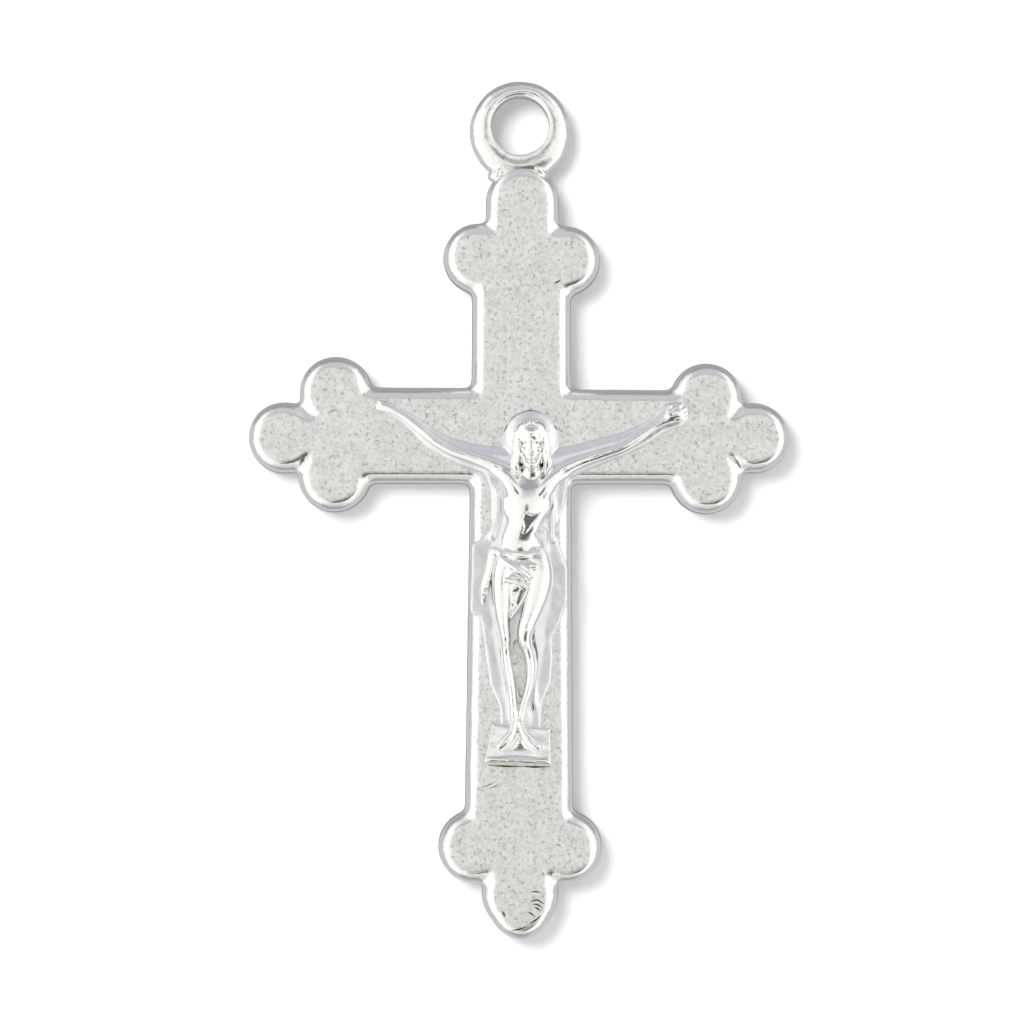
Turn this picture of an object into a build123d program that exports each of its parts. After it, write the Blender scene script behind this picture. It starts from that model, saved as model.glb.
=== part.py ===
"""A small cast crucifix pendant: a cross with budded ends, a hanger ring soldered into its crown,
and a corpus that lies on a contoured backing plate with its feet on a foot rest.

Millimetres. The origin is the centre of the hanger ring's bore. The pendant hangs along Z,
its front looks along -Y, and its arms lie along X. Left and right are the viewer's.
A height is a distance in front of the plate's mid-plane, towards -Y."""

import os

from build123d import *

# Cross plate
PLATE_THICKNESS = 2.0
PLATE_FRONT = PLATE_THICKNESS / 2  # height of the front face
PLATE_DRAFT = 6.0  # degrees that the side walls lean in, as a casting needs
FRONT_ROUNDING = 0.28
BACK_ROUNDING = 0.12
ARM_Z = -15.44  # the arms' centreline
ARM_HALF = 2.41
SHAFT_HALF_TOP = 2.50
SHAFT_HALF_FOOT = 2.65
CROWN_SHIFT = 0.10  # the crown stands this much to the right of the ring

# Three round lobes at each end of the cross
CROWN_LOBE = (-3.65, 1.82)  # height along the shaft and radius of the topmost lobe
CROWN_SIDE = (2.15, -6.67, 1.73)  # reach from the centreline, height and radius of the side lobes
ARM_SIDE = (9.28, 2.05, 1.80)  # reach, distance from the arms' centreline and radius
ARM_END = (11.78, 1.75)  # reach and radius of the outermost lobe
FOOT_SIDE = (2.32, -36.15, 1.78)
FOOT_LOBE = (-38.35, 1.85)
FOOT_TIP = (-40.00, 0.60)  # a smaller circle that draws the last lobe to a blunt point
LOBE_CORE_HALF = 1.20  # half width of the metal that fills the middle of three lobes
CORNER_FILLET = 0.25  # where the arms cross the shaft
FLARE_FILLET = 0.65  # where the bars run out into the lobes
NOTCH_FILLET = 0.18  # between two lobes

# Hanger ring, and the solder that holds it in its seat in the crown
BORE_R = 1.50
RING_R = 2.50
RING_DROP = 0.20  # the outside is centred a little lower than the bore, so the top is thinner
RING_THICKNESS = 1.50
RING_ROUNDING = 0.45
BORE_CHAMFER = 0.12
SOLDER_FILM = 0.10
SOLDER_THICKNESS = 1.30
SOLDER_BEAD_R = 0.42
SOLDER_BEADS = ((-1.46, -2.34), (1.64, -2.34))

# Backing plate behind the corpus
BACKING_THICKNESS = 0.30
BACKING_FRONT = PLATE_FRONT + BACKING_THICKNESS
BACKING_STEP = 0.28  # how far it shows beyond the figure
HEAD_DISC = (0.55, -15.65, 1.42)  # x, z and radius
HIP_PANEL = ((-2.05, -20.85), (-2.05, -24.35), (2.05, -23.70), (2.05, -21.60))

# Foot rest, a wedge that is thin at its top edge: left, right, z and height of an edge
REST_TOP = (-1.36, 1.48, -29.90, PLATE_FRONT + 0.36)
REST_FOOT = (-1.78, 1.54, -31.85, PLATE_FRONT + 0.78)
REST_ROUNDING = 0.10

# Stations along the body and the limbs: x, z, height of the axis, half width, half depth
TORSO = (
    (0.60, -16.75, 1.70, 0.55, 0.45),
    (0.60, -17.20, 1.55, 1.30, 0.72),
    (0.50, -18.30, 1.40, 1.22, 1.02),
    (0.22, -19.55, 1.40, 1.00, 0.96),
    (0.02, -20.60, 1.40, 0.94, 0.82),
    (0.04, -21.30, 1.40, 1.10, 0.86),
)
LOINCLOTH = (
    (0.04, -21.10, 1.40, 1.36, 1.00),
    (0.02, -21.90, 1.40, 1.52, 1.06),
    (-0.02, -23.00, 1.40, 1.30, 0.98),
    (-0.20, -24.00, 1.40, 0.72, 0.86),
    (-0.45, -24.85, 1.40, 0.22, 0.72),
)
CLOTH_TAIL = (
    (-1.50, -21.20, 1.40, 0.22, 0.46),
    (-1.78, -22.60, 1.40, 0.24, 0.40),
    (-1.72, -24.05, 1.40, 0.14, 0.26),
)
LEFT_ARM = (
    (-0.45, -17.15, 1.45, 0.46, 0.50),
    (-2.20, -16.48, 1.40, 0.38, 0.42),
    (-3.63, -15.92, 1.40, 0.29, 0.34),
    (-4.80, -15.28, 1.40, 0.31, 0.36),
    (-5.90, -14.66, 1.40, 0.20, 0.26),
    (-6.55, -14.24, 1.40, 0.30, 0.24),
    (-7.05, -13.95, 1.38, 0.17, 0.16),
)
RIGHT_ARM = (
    (1.70, -17.22, 1.45, 0.46, 0.50),
    (3.30, -16.66, 1.40, 0.38, 0.42),
    (4.60, -16.20, 1.40, 0.29, 0.34),
    (5.75, -15.75, 1.40, 0.31, 0.36),
    (6.90, -15.08, 1.40, 0.20, 0.26),
    (7.60, -14.60, 1.40, 0.36, 0.26),
    (8.28, -14.18, 1.38, 0.20, 0.18),
)
LEFT_LEG = (
    (-0.62, -22.40, 1.40, 0.66, 0.80),
    (-0.76, -23.70, 1.40, 0.50, 0.68),
    (-0.72, -25.00, 1.42, 0.37, 0.60),
    (-0.70, -25.70, 1.45, 0.34, 0.62),
    (-0.62, -26.80, 1.40, 0.34, 0.48),
    (-0.40, -28.40, 1.42, 0.23, 0.36),
    (-0.29, -29.60, 1.50, 0.21, 0.36),
)
RIGHT_LEG = (
    (0.78, -22.40, 1.40, 0.68, 0.80),
    (0.88, -23.30, 1.40, 0.58, 0.72),
    (0.55, -24.70, 1.42, 0.46, 0.66),
    (0.36, -25.60, 1.45, 0.40, 0.66),
    (0.56, -26.80, 1.40, 0.36, 0.48),
    (0.36, -28.40, 1.42, 0.23, 0.36),
    (0.22, -29.60, 1.50, 0.21, 0.36),
)
LEFT_FOOT = (
    (-0.29, -29.50, 1.50, 0.21, 0.36),
    (-0.42, -30.25, 1.66, 0.26, 0.36),
    (-0.78, -30.85, 1.76, 0.27, 0.30),
    (-1.10, -31.20, 1.82, 0.17, 0.16),
)
FEET_MIRROR = -0.035  # the right foot mirrors the left one about this x
RIGHT_FOOT = tuple((2 * FEET_MIRROR - x, z, height, wide, deep) for x, z, height, wide, deep in LEFT_FOOT)

# Head with a nose, in a shell of hair and beard that is open at the face
HEAD_X = 0.58
HEAD = (
    (HEAD_X, -14.80, 1.95, 0.22, 0.24),
    (HEAD_X, -15.05, 1.95, 0.58, 0.62),
    (HEAD_X, -15.55, 1.95, 0.78, 0.80),
    (HEAD_X, -16.20, 1.97, 0.70, 0.74),
    (HEAD_X, -16.70, 2.02, 0.44, 0.56),
    (HEAD_X, -16.95, 2.06, 0.24, 0.36),
)
NOSE = (
    (HEAD_X, -15.62, 2.62, 0.07, 0.14),
    (HEAD_X, -15.90, 2.70, 0.09, 0.16),
    (HEAD_X, -16.12, 2.72, 0.13, 0.18),
)
HAIR = (
    (HEAD_X, -14.56, 1.95, 0.30, 0.34),
    (HEAD_X, -14.86, 1.95, 0.76, 0.80),
    (HEAD_X, -15.45, 1.95, 1.01, 1.02),
    (HEAD_X, -16.25, 1.97, 0.95, 0.98),
    (HEAD_X, -16.85, 2.02, 0.66, 0.80),
    (HEAD_X, -17.20, 2.06, 0.34, 0.52),
)
LOCK = (
    (0.84, -15.60, 1.80, 0.26, 0.42),
    (0.94, -16.40, 1.75, 0.24, 0.40),
    (0.86, -17.30, 1.75, 0.14, 0.60),
)
LEFT_LOCK = tuple((HEAD_X - reach, z, height, wide, deep) for reach, z, height, wide, deep in LOCK)
RIGHT_LOCK = tuple((HEAD_X + reach, z, height, wide, deep) for reach, z, height, wide, deep in LOCK)
FACE_OPENING = (-15.90, 0.56, 0.62)  # z, half width and half height of the opening in the hair
FACE_BACK = 1.95  # height of the opening's back wall


def facing(height):
    """A plane parallel to the cross's face, at that height. Its x is X and its y is Z."""
    return Plane.XZ.offset(height)


def limb(stations):
    """Returns a limb lofted through an ellipse at each station, square to the run of the limb."""
    points = [Vector(x, -height, z) for x, z, height, _, _ in stations]
    with BuildPart() as solid:
        for i, (point, station) in enumerate(zip(points, stations)):
            run = points[min(i + 1, len(points) - 1)] - points[max(i - 1, 0)]
            across = Vector(0, 1, 0).cross(run)
            with BuildSketch(Plane(origin=point, x_dir=across, z_dir=run)):
                Ellipse(station[3], station[4])
        loft()
    return solid.part


def footprint(stations, step):
    """Returns the outline that a limb covers, grown by step: a disc at each station, with straight runs between."""
    with BuildSketch() as whole:
        for x, z, _, wide, _ in stations:
            with Locations((x, z)):
                Circle(wide + step)
        for (x0, z0, _, w0, _), (x1, z1, _, w1, _) in zip(stations, stations[1:]):
            start, end = Vector(x0, z0), Vector(x1, z1)
            across = (end - start).normalized().rotate(Axis.Z, 90)
            side0, side1 = across * (w0 + step), across * (w1 + step)
            with BuildLine():
                Polyline(start + side0, start - side0, end - side1, end + side1, close=True)
            make_face()
    return whole.sketch


def figure_piece(solid, others):
    """Returns a piece of the figure, flat where it lies on the backing plate and cut to fit the other pieces."""
    with BuildPart() as piece:
        add(solid)
        split(bisect_by=facing(BACKING_FRONT), keep=Keep.TOP)
        add(others, mode=Mode.SUBTRACT)
    return piece.part


def wedge_edge(edge):
    """Draws one end of the foot rest's wedge, on a level plane."""
    left, right, z, height = edge
    with BuildSketch(Plane.XY.offset(z)) as end:
        with Locations(((left + right) / 2, -(PLATE_FRONT + height) / 2)):
            Rectangle(right - left, height - PLATE_FRONT)
    return end.sketch


os.makedirs("parts", exist_ok=True)

# Hanger ring: a straight-walled bore in a body that is thin at the top and thick at the foot
with BuildPart() as hanger_ring:
    with BuildSketch(facing(-RING_THICKNESS / 2)):
        with Locations((0, -RING_DROP)):
            Circle(RING_R)
    extrude(amount=RING_THICKNESS)
    fillet(hanger_ring.edges().filter_by(GeomType.CIRCLE), RING_ROUNDING)
    with BuildSketch(facing(-RING_THICKNESS / 2)):
        Circle(BORE_R)
    extrude(amount=RING_THICKNESS, mode=Mode.SUBTRACT)
    circles = hanger_ring.edges().filter_by(GeomType.CIRCLE)
    chamfer(circles.filter_by(lambda edge: abs(edge.radius - BORE_R) < 1e-6), BORE_CHAMFER)

# Ring solder: a thin film under the ring, with a bead at each end where it was fed in
with BuildPart() as ring_solder:
    with BuildSketch(facing(-SOLDER_THICKNESS / 2)):
        with Locations((0, -RING_DROP)):
            Circle(RING_R + SOLDER_FILM)
        with Locations((0, SOLDER_BEADS[0][1] + RING_R)):
            Rectangle(3 * RING_R, 2 * RING_R, mode=Mode.SUBTRACT)
        with Locations(*SOLDER_BEADS):
            Circle(SOLDER_BEAD_R)
        with Locations((0, -RING_DROP)):
            Circle(RING_R, mode=Mode.SUBTRACT)
    extrude(amount=SOLDER_THICKNESS)

# Cross plate: drawn at its back face, drawn in towards the front, and seated for the ring
with BuildPart() as cross_plate:
    with BuildSketch(facing(-PLATE_FRONT)) as outline:
        with BuildLine():
            Polyline(
                (CROWN_SHIFT - SHAFT_HALF_TOP, CROWN_SIDE[1]),
                (CROWN_SHIFT + SHAFT_HALF_TOP, CROWN_SIDE[1]),
                (SHAFT_HALF_TOP, ARM_Z),
                (SHAFT_HALF_FOOT, FOOT_SIDE[1]),
                (-SHAFT_HALF_FOOT, FOOT_SIDE[1]),
                (-SHAFT_HALF_TOP, ARM_Z),
                close=True,
            )
        make_face()
        with Locations((0, ARM_Z)):
            Rectangle(2 * ARM_SIDE[0], 2 * ARM_HALF)
        crossing = outline.vertices().filter_by(lambda v: abs(v.X) < 3 and 1 < abs(v.Y - ARM_Z) < 3)
        fillet(crossing, CORNER_FILLET)
        with Locations((CROWN_SHIFT, CROWN_LOBE[0])):
            Circle(CROWN_LOBE[1])
        with Locations((CROWN_SHIFT, (CROWN_LOBE[0] + CROWN_SIDE[1]) / 2)):
            Rectangle(2 * CROWN_LOBE[1], CROWN_LOBE[0] - CROWN_SIDE[1])
        for side in (-1, 1):
            with Locations((CROWN_SHIFT + side * CROWN_SIDE[0], CROWN_SIDE[1])):
                Circle(CROWN_SIDE[2])
            with Locations((side * FOOT_SIDE[0], FOOT_SIDE[1])):
                Circle(FOOT_SIDE[2])
            with Locations(*[(side * ARM_SIDE[0], ARM_Z + up * ARM_SIDE[1]) for up in (-1, 1)]):
                Circle(ARM_SIDE[2])
            with Locations((side * ARM_END[0], ARM_Z)):
                Circle(ARM_END[1])
        with BuildSketch(mode=Mode.PRIVATE) as tip:
            with Locations((0, FOOT_LOBE[0])):
                Circle(FOOT_LOBE[1])
            with Locations((0, FOOT_TIP[0])):
                Circle(FOOT_TIP[1])
            make_hull()
        add(tip.sketch)
        with Locations((0, ARM_Z)):
            Rectangle(2 * ARM_END[0], 2 * LOBE_CORE_HALF)
        with Locations((0, (FOOT_SIDE[1] + FOOT_LOBE[0]) / 2)):
            Rectangle(2 * LOBE_CORE_HALF, FOOT_SIDE[1] - FOOT_LOBE[0])
        flares = outline.vertices().filter_by(
            lambda v: 4 < abs(v.X) < ARM_SIDE[0]
            or 0 < CROWN_SIDE[1] - v.Y < CROWN_SIDE[2]
            or 0 < v.Y - FOOT_SIDE[1] < FOOT_SIDE[2]
        )
        fillet(flares, FLARE_FILLET)
        notches = outline.vertices().filter_by(
            lambda v: abs(v.X) > ARM_SIDE[0] + 1
            or CROWN_SIDE[1] < v.Y < CROWN_LOBE[0] - 1
            or FOOT_LOBE[0] < v.Y < FOOT_SIDE[1] - 1
        )
        fillet(notches, NOTCH_FILLET)
    extrude(amount=PLATE_THICKNESS, taper=PLATE_DRAFT)
    fillet(cross_plate.faces().sort_by(Axis.Y)[0].edges(), FRONT_ROUNDING)
    fillet(cross_plate.faces().sort_by(Axis.Y)[-1].edges(), BACK_ROUNDING)
    with BuildSketch(facing(-PLATE_FRONT)):
        with Locations((0, -RING_DROP)):
            Circle(RING_R)
    extrude(amount=PLATE_THICKNESS, mode=Mode.SUBTRACT)
    add(ring_solder.part, mode=Mode.SUBTRACT)

# Foot rest
with BuildPart() as foot_rest:
    add([wedge_edge(REST_TOP), wedge_edge(REST_FOOT)])
    loft()
    fillet(foot_rest.faces().sort_by(Axis.Y)[0].edges(), REST_ROUNDING)

# Backing plate
with BuildPart() as corpus_backing:
    with BuildSketch(facing(PLATE_FRONT)):
        with Locations(HEAD_DISC[:2]):
            Circle(HEAD_DISC[2])
        with BuildLine():
            Polyline(*HIP_PANEL, close=True)
        make_face()
        for stations in (TORSO, LEFT_ARM, RIGHT_ARM, LOINCLOTH, LEFT_LEG, RIGHT_LEG):
            add(footprint(stations, BACKING_STEP))
    extrude(amount=BACKING_THICKNESS)
    add(foot_rest.part, mode=Mode.SUBTRACT)

# Head, with its nose, then the hair and beard around it
with BuildPart() as skull:
    add([limb(HEAD), limb(NOSE)])
with BuildPart() as head:
    add(figure_piece(skull.part, []))

with BuildPart() as hair_shell:
    add([limb(HAIR), limb(LEFT_LOCK), limb(RIGHT_LOCK)])
    with BuildSketch(facing(FACE_BACK)):
        with Locations((HEAD_X, FACE_OPENING[0])):
            Ellipse(FACE_OPENING[1], FACE_OPENING[2])
    extrude(amount=PLATE_THICKNESS, mode=Mode.SUBTRACT)
with BuildPart() as hair_and_beard:
    add(figure_piece(hair_shell.part, [head.part]))

# Body, cloth and limbs, each cut to the ones made before it
with BuildPart() as loincloth:
    add(figure_piece(limb(LOINCLOTH), []))

with BuildPart() as torso:
    add(figure_piece(limb(TORSO), [head.part, hair_and_beard.part, loincloth.part]))

with BuildPart() as left_arm:
    add(figure_piece(limb(LEFT_ARM), [torso.part, hair_and_beard.part]))

with BuildPart() as right_arm:
    add(figure_piece(limb(RIGHT_ARM), [torso.part, hair_and_beard.part]))

with BuildPart() as left_leg:
    add(figure_piece(limb(LEFT_LEG), [loincloth.part]))

with BuildPart() as right_leg:
    add(figure_piece(limb(RIGHT_LEG), [loincloth.part, left_leg.part]))

with BuildPart() as cloth_tail:
    add(figure_piece(limb(CLOTH_TAIL), [loincloth.part, torso.part, left_leg.part]))

with BuildPart() as left_foot:
    add(figure_piece(limb(LEFT_FOOT), [left_leg.part, foot_rest.part]))

with BuildPart() as right_foot:
    add(figure_piece(limb(RIGHT_FOOT), [right_leg.part, left_foot.part, foot_rest.part]))

pieces = {
    "cross_plate": cross_plate,
    "hanger_ring": hanger_ring,
    "ring_solder": ring_solder,
    "corpus_backing": corpus_backing,
    "foot_rest": foot_rest,
    "head": head,
    "hair_and_beard": hair_and_beard,
    "torso": torso,
    "loincloth": loincloth,
    "cloth_tail": cloth_tail,
    "left_arm": left_arm,
    "right_arm": right_arm,
    "left_leg": left_leg,
    "right_leg": right_leg,
    "left_foot": left_foot,
    "right_foot": right_foot,
}
for name, piece in pieces.items():
    piece.part.label = name
    export_step(piece.part, f"parts/{name}.step")
    print(name, round(piece.part.volume, 2), len(piece.solids()))
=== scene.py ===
# %% [markdown]
# # A cast silver crucifix pendant
# The pendant is small: 43 mm tall, with a ring that a jump ring passes through. A pendant like this is cast
# in silver, tumbled bright, and left with a satin face where the polishing wheel doesn't reach. So its shape
# is soft everywhere: no edge is sharp, no face is quite flat, and the figure melts into the plate behind it.
# The first cell loads the measured frame that every piece here is built around.

import math

import bpy
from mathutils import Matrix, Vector


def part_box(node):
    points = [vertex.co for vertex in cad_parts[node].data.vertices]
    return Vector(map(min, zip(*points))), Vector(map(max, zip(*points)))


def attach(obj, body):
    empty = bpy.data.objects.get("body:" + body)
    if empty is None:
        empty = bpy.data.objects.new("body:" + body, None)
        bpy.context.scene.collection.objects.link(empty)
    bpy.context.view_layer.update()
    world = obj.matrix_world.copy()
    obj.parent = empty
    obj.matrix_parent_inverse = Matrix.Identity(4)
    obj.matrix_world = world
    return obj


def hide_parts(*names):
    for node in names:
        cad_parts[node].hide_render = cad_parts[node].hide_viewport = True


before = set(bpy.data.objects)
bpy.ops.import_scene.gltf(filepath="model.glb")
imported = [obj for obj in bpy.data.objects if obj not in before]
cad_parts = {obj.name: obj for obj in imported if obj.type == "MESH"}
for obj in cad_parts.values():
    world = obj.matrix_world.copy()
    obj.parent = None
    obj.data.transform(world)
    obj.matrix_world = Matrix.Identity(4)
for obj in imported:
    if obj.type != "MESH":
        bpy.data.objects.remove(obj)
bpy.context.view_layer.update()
bpy.ops.object.select_all(action="DESELECT")
print("nodes in the frame:", ", ".join(sorted(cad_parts)))

# %% [markdown]
# ## A jeweller's bench
# Blender's remesh and merge tools work to a tenth of a millimetre at best, which is too coarse for a face
# that is 2 mm high. So each piece is modelled on a bench where one unit is one millimetre, and is brought
# down to its real size when it is finished. On the bench a place is given as x, z and height, where height is
# how far it stands in front of the plate's middle, towards the viewer.

# %% The bench and its measures
MM = 0.001
PLATE_BACK = -1.0
PLATE_FACE = 1.0
SHOULDER = 0.55  # the height where the plate's wall turns in towards its face
WALL_LEAN, SHOULDER_LEAN = 0.07, 0.42  # how far the plate leans in below and above its shoulder


def box_mm(node):
    """Lowest and highest corner of a frame node, in millimetres."""
    return [Vector(corner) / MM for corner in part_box(node)]


def place(x, z, height):
    """A point on the bench."""
    return Vector((x, -height, z))


def active():
    """The object that the last operator left active."""
    return bpy.context.view_layer.objects.active


def pick(objects):
    """Selects these objects and nothing else, and makes the first one active."""
    bpy.ops.object.select_all(action="DESELECT")
    for piece in objects:
        piece.select_set(True)
    bpy.context.view_layer.objects.active = objects[0]


def join(objects):
    """Joins objects into the first one."""
    pick(objects)
    if len(objects) > 1:
        bpy.ops.object.join()
    return active()


def add_modifier(piece, kind, **settings):
    """Adds one modifier and applies it."""
    pick([piece])
    modifier = piece.modifiers.new(kind.title(), kind)
    for name, value in settings.items():
        setattr(modifier, name, value)
    bpy.ops.object.modifier_apply(modifier=modifier.name)


for corner in box_mm("cross_plate"):
    print("a corner of the plate:", [round(v, 2) for v in corner])

# %% [markdown]
# A few shapes are enough for the whole pendant: discs and bars with leaning walls for what is cast flat,
# slabs for what has an outline of its own, balls for what is round, and bones for a limb, a fold or a lock of
# hair. A bone is a ball too: its rings are drawn out along a smooth curve, each to its own width and depth.
# The shapes overlap freely, because the remesh that follows keeps only their outer skin.

# %% Discs, bars and balls
def disc(x, z, radius, low, high, lean=0.0, sides=48):
    """A flat disc between two heights, smaller at its front by the lean."""
    bpy.ops.mesh.primitive_cone_add(
        vertices=sides, radius1=radius, radius2=radius - lean, depth=high - low,
        location=place(x, z, (low + high) / 2), rotation=(math.pi / 2, 0, 0),
    )
    bpy.ops.object.transform_apply()
    return active()


def face_outwards(piece):
    """Turns every face of a closed piece outwards."""
    pick([piece])
    bpy.ops.object.mode_set(mode="EDIT")
    bpy.ops.mesh.select_all(action="SELECT")
    bpy.ops.mesh.normals_make_consistent(inside=False)
    bpy.ops.object.mode_set(mode="OBJECT")
    return piece


def bar(low_end, high_end, low, high, lean=0.0):
    """A bar of the plate between two ends, each given as (x, z, half width), leaning in at its front."""
    (x0, z0, half0), (x1, z1, half1) = low_end, high_end
    across = Vector((z0 - z1, 0, x1 - x0)).normalized()
    bpy.ops.mesh.primitive_cube_add(size=2)
    piece = active()
    for corner in piece.data.vertices:
        end, half = (place(x1, z1, 0), half1) if corner.co.x > 0 else (place(x0, z0, 0), half0)
        front = corner.co.z > 0
        reach = (half - lean if front else half) * (1 if corner.co.y > 0 else -1)
        corner.co = end + across * reach + place(0, 0, high if front else low)
    return face_outwards(piece)


def ball(x, z, height, wide, deep, tall=None, turn=0.0, detail=20):
    """An egg-shaped ball of these half sizes, turned about the line of sight by degrees."""
    bpy.ops.mesh.primitive_uv_sphere_add(
        segments=detail, ring_count=detail // 2 + 2, location=place(x, z, height),
        scale=(wide, deep, wide if tall is None else tall), rotation=(0, math.radians(turn), 0),
    )
    bpy.ops.object.transform_apply()
    return active()


# %% Bones and slabs
CAP_ANGLES = [math.radians(angle) for angle in (30, 60, 90)]


def flow(stations, steps):
    """The stations with more between them, on one smooth curve that passes through them all."""
    points = [Vector(station) for station in (stations[0], *stations, stations[-1])]
    run = []
    for before, start, end, after in zip(points, points[1:], points[2:], points[3:]):
        for step in range(steps):
            t = step / steps
            run.append(start + 0.5 * (
                (end - before) * t + (2 * before - 5 * start + 4 * end - after) * t**2
                + (3 * start - before - 3 * end + after) * t**3))
    return run + [points[-1]]


def bone(stations, detail=14, steps=3):
    """A limb through stations of (x, z, height, half width, half depth), round at both ends."""
    run = flow(stations, steps)
    forward = place(0, 0, 1)
    rings = []
    for index, (x, z, height, wide, deep) in enumerate(run):
        before, after = run[max(index - 1, 0)], run[min(index + 1, len(run) - 1)]
        along = (place(*after[:3]) - place(*before[:3])).normalized()
        rings.append((place(x, z, height), along, wide, deep))
    for end, outwards in ((0, -1), (-1, 1)):
        middle, along, wide, deep = rings[end]
        for angle in CAP_ANGLES:
            tip, narrowing = middle + along * outwards * wide * math.sin(angle), math.cos(angle)
            rings.insert(0 if end == 0 else len(rings), (tip, along, wide * narrowing, deep * narrowing))
    bpy.ops.mesh.primitive_uv_sphere_add(segments=detail, ring_count=len(rings) - 1)
    piece = active()
    for corner in piece.data.vertices:
        x, y, z = corner.co
        middle, along, wide, deep = rings[round(math.acos(max(-1, min(1, z))) / math.pi * (len(rings) - 1))]
        reach = math.hypot(x, y) or 1
        corner.co = middle + along.cross(forward).normalized() * wide * x / reach + forward * deep * y / reach
    return piece


def slab(points, low, high):
    """A flat plate with an outline of (x, z) points, given anticlockwise, between two heights."""
    bpy.ops.mesh.primitive_circle_add(vertices=len(points), fill_type="NGON", radius=1)
    piece = active()
    for corner, (x, z) in zip(piece.data.vertices, points):
        corner.co = place(x, z, low)
    bpy.ops.object.mode_set(mode="EDIT")
    bpy.ops.mesh.select_all(action="SELECT")
    bpy.ops.mesh.extrude_region_move(TRANSFORM_OT_translate={"value": place(0, 0, high - low)})
    bpy.ops.object.mode_set(mode="OBJECT")
    return face_outwards(piece)


# %% [markdown]
# The bench does four jobs. Casting melts overlapping shapes into one skin with a voxel remesh, and smooths it
# as a tumbling barrel does. Carving cuts grooves and holes. A ripple leaves the skin a little uneven.
# Finishing brings a piece down to its real size, names it, and says which nodes of the frame it stands for.

# %% Casting, cutting and finishing
def cast(parts, voxel, passes):
    """Melts overlapping parts into one skin, and softens it as casting and tumbling do."""
    piece = join(parts)
    add_modifier(piece, "REMESH", mode="VOXEL", voxel_size=voxel)
    if passes:
        add_modifier(piece, "SMOOTH", factor=0.5, iterations=passes)
    return piece


def carve(piece, cutters):
    """Cuts the cutters out of a piece."""
    cutter = join(cutters)
    add_modifier(piece, "BOOLEAN", operation="DIFFERENCE", object=cutter, solver="MANIFOLD")
    bpy.data.objects.remove(cutter)
    return piece


def ripple(piece, size, strength):
    """Pushes the skin in and out a little, as an uneven wax pattern leaves it."""
    texture = bpy.data.textures.new("uneven_wax", "CLOUDS")
    texture.noise_scale = size
    texture.noise_depth = 1
    add_modifier(piece, "DISPLACE", texture=texture, strength=strength, mid_level=0.5, texture_coords="LOCAL")


def finish_piece(piece, name, nodes):
    """Brings a piece down from the bench to its real size, names it and hands it to the frame."""
    pick([piece])
    bpy.ops.object.transform_apply()
    bpy.ops.transform.resize(value=(MM, MM, MM), center_override=(0, 0, 0))
    bpy.ops.object.transform_apply()
    bpy.ops.object.shade_smooth()
    piece.name = piece.data.name = name
    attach(piece, "root")
    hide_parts(*nodes)
    size = [round(v / MM, 2) for v in piece.dimensions]
    print(f"{name}: {len(piece.data.polygons)} faces, {size} mm, stands for {', '.join(nodes)}")
    return piece


# %% [markdown]
# ## The cross plate
# The plate is one casting, and its bars end in three round lobes each. It could be cut from an outline, but
# the real one was filed by hand, so each lobe is placed on its own, a little off its neighbour, and the
# remesh flows them together. The last lobe at the foot narrows to a blunt tip through ever smaller discs.
# Every disc and bar is laid down in two layers: a steep wall, which leans in just enough for the casting to
# leave its mould, and on top of it a shoulder that turns in towards the face. Many smoothing passes round one
# into the other, as the tumbling barrel does, and the shoulder becomes the bright rim that runs all round.

# %% Lobes and bars of the plate
ARM_Z = -15.53
LOBES = (
    (0.12, -3.80, 1.87), (-2.10, -6.60, 1.79), (2.27, -6.72, 1.78),  # crown
    (-11.85, -15.62, 1.83), (-9.27, -13.35, 1.85), (-9.32, -17.54, 1.86),  # left arm
    (11.76, -15.64, 1.80), (9.37, -13.66, 1.82), (9.35, -17.63, 1.86),  # right arm
    (-2.32, -36.16, 1.83), (2.32, -36.18, 1.83), (0.0, -38.55, 1.95),  # foot
    (0.02, -39.20, 1.60), (0.04, -39.78, 1.08), (0.05, -40.15, 0.62),  # foot tip
)
BARS = (
    ((0.12, -3.8, 1.86), (0.12, -6.6, 1.86)),
    ((0.08, -6.6, 2.50), (0.06, ARM_Z, 2.53)),
    ((0.04, ARM_Z, 2.55), (-0.05, -35.5, 2.76)),
    ((-9.3, -15.50, 2.45), (0, -15.53, 2.44)),
    ((0, -15.55, 2.42), (9.35, -15.60, 2.39)),
    ((-11.8, -15.6, 1.2), (-9.3, -15.5, 1.4)),
    ((9.3, -15.6, 1.4), (11.7, -15.6, 1.2)),
    ((0, -35.5, 1.9), (0, -38.5, 1.8)),
)
LAYERS = (  # lowest and highest point, how far in the layer starts, and how far it leans in
    (PLATE_BACK, SHOULDER, 0, WALL_LEAN), (SHOULDER, PLATE_FACE, WALL_LEAN, SHOULDER_LEAN),
)
plate_parts = []
for low, high, inset, lean in LAYERS:
    plate_parts += [disc(x, z, radius - inset, low, high, lean) for x, z, radius in LOBES]
    for (x0, z0, half0), (x1, z1, half1) in BARS:
        plate_parts.append(bar((x0, z0, half0 - inset), (x1, z1, half1 - inset), low, high, lean))
print("the plate starts from", len(plate_parts), "discs and bars")

# %% Melt the plate together
plate = cast(plate_parts, voxel=0.11, passes=28)
ripple(plate, 1.6, 0.022)
print("the plate is one skin of", len(plate.data.polygons), "faces")

# %% [markdown]
# The casting has lived: there is a scratch or two on its face, and the blunt tip is wrinkled where the metal
# cooled last. They are grooves cut into the skin with thin bones, so that they are there from every side.

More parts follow.
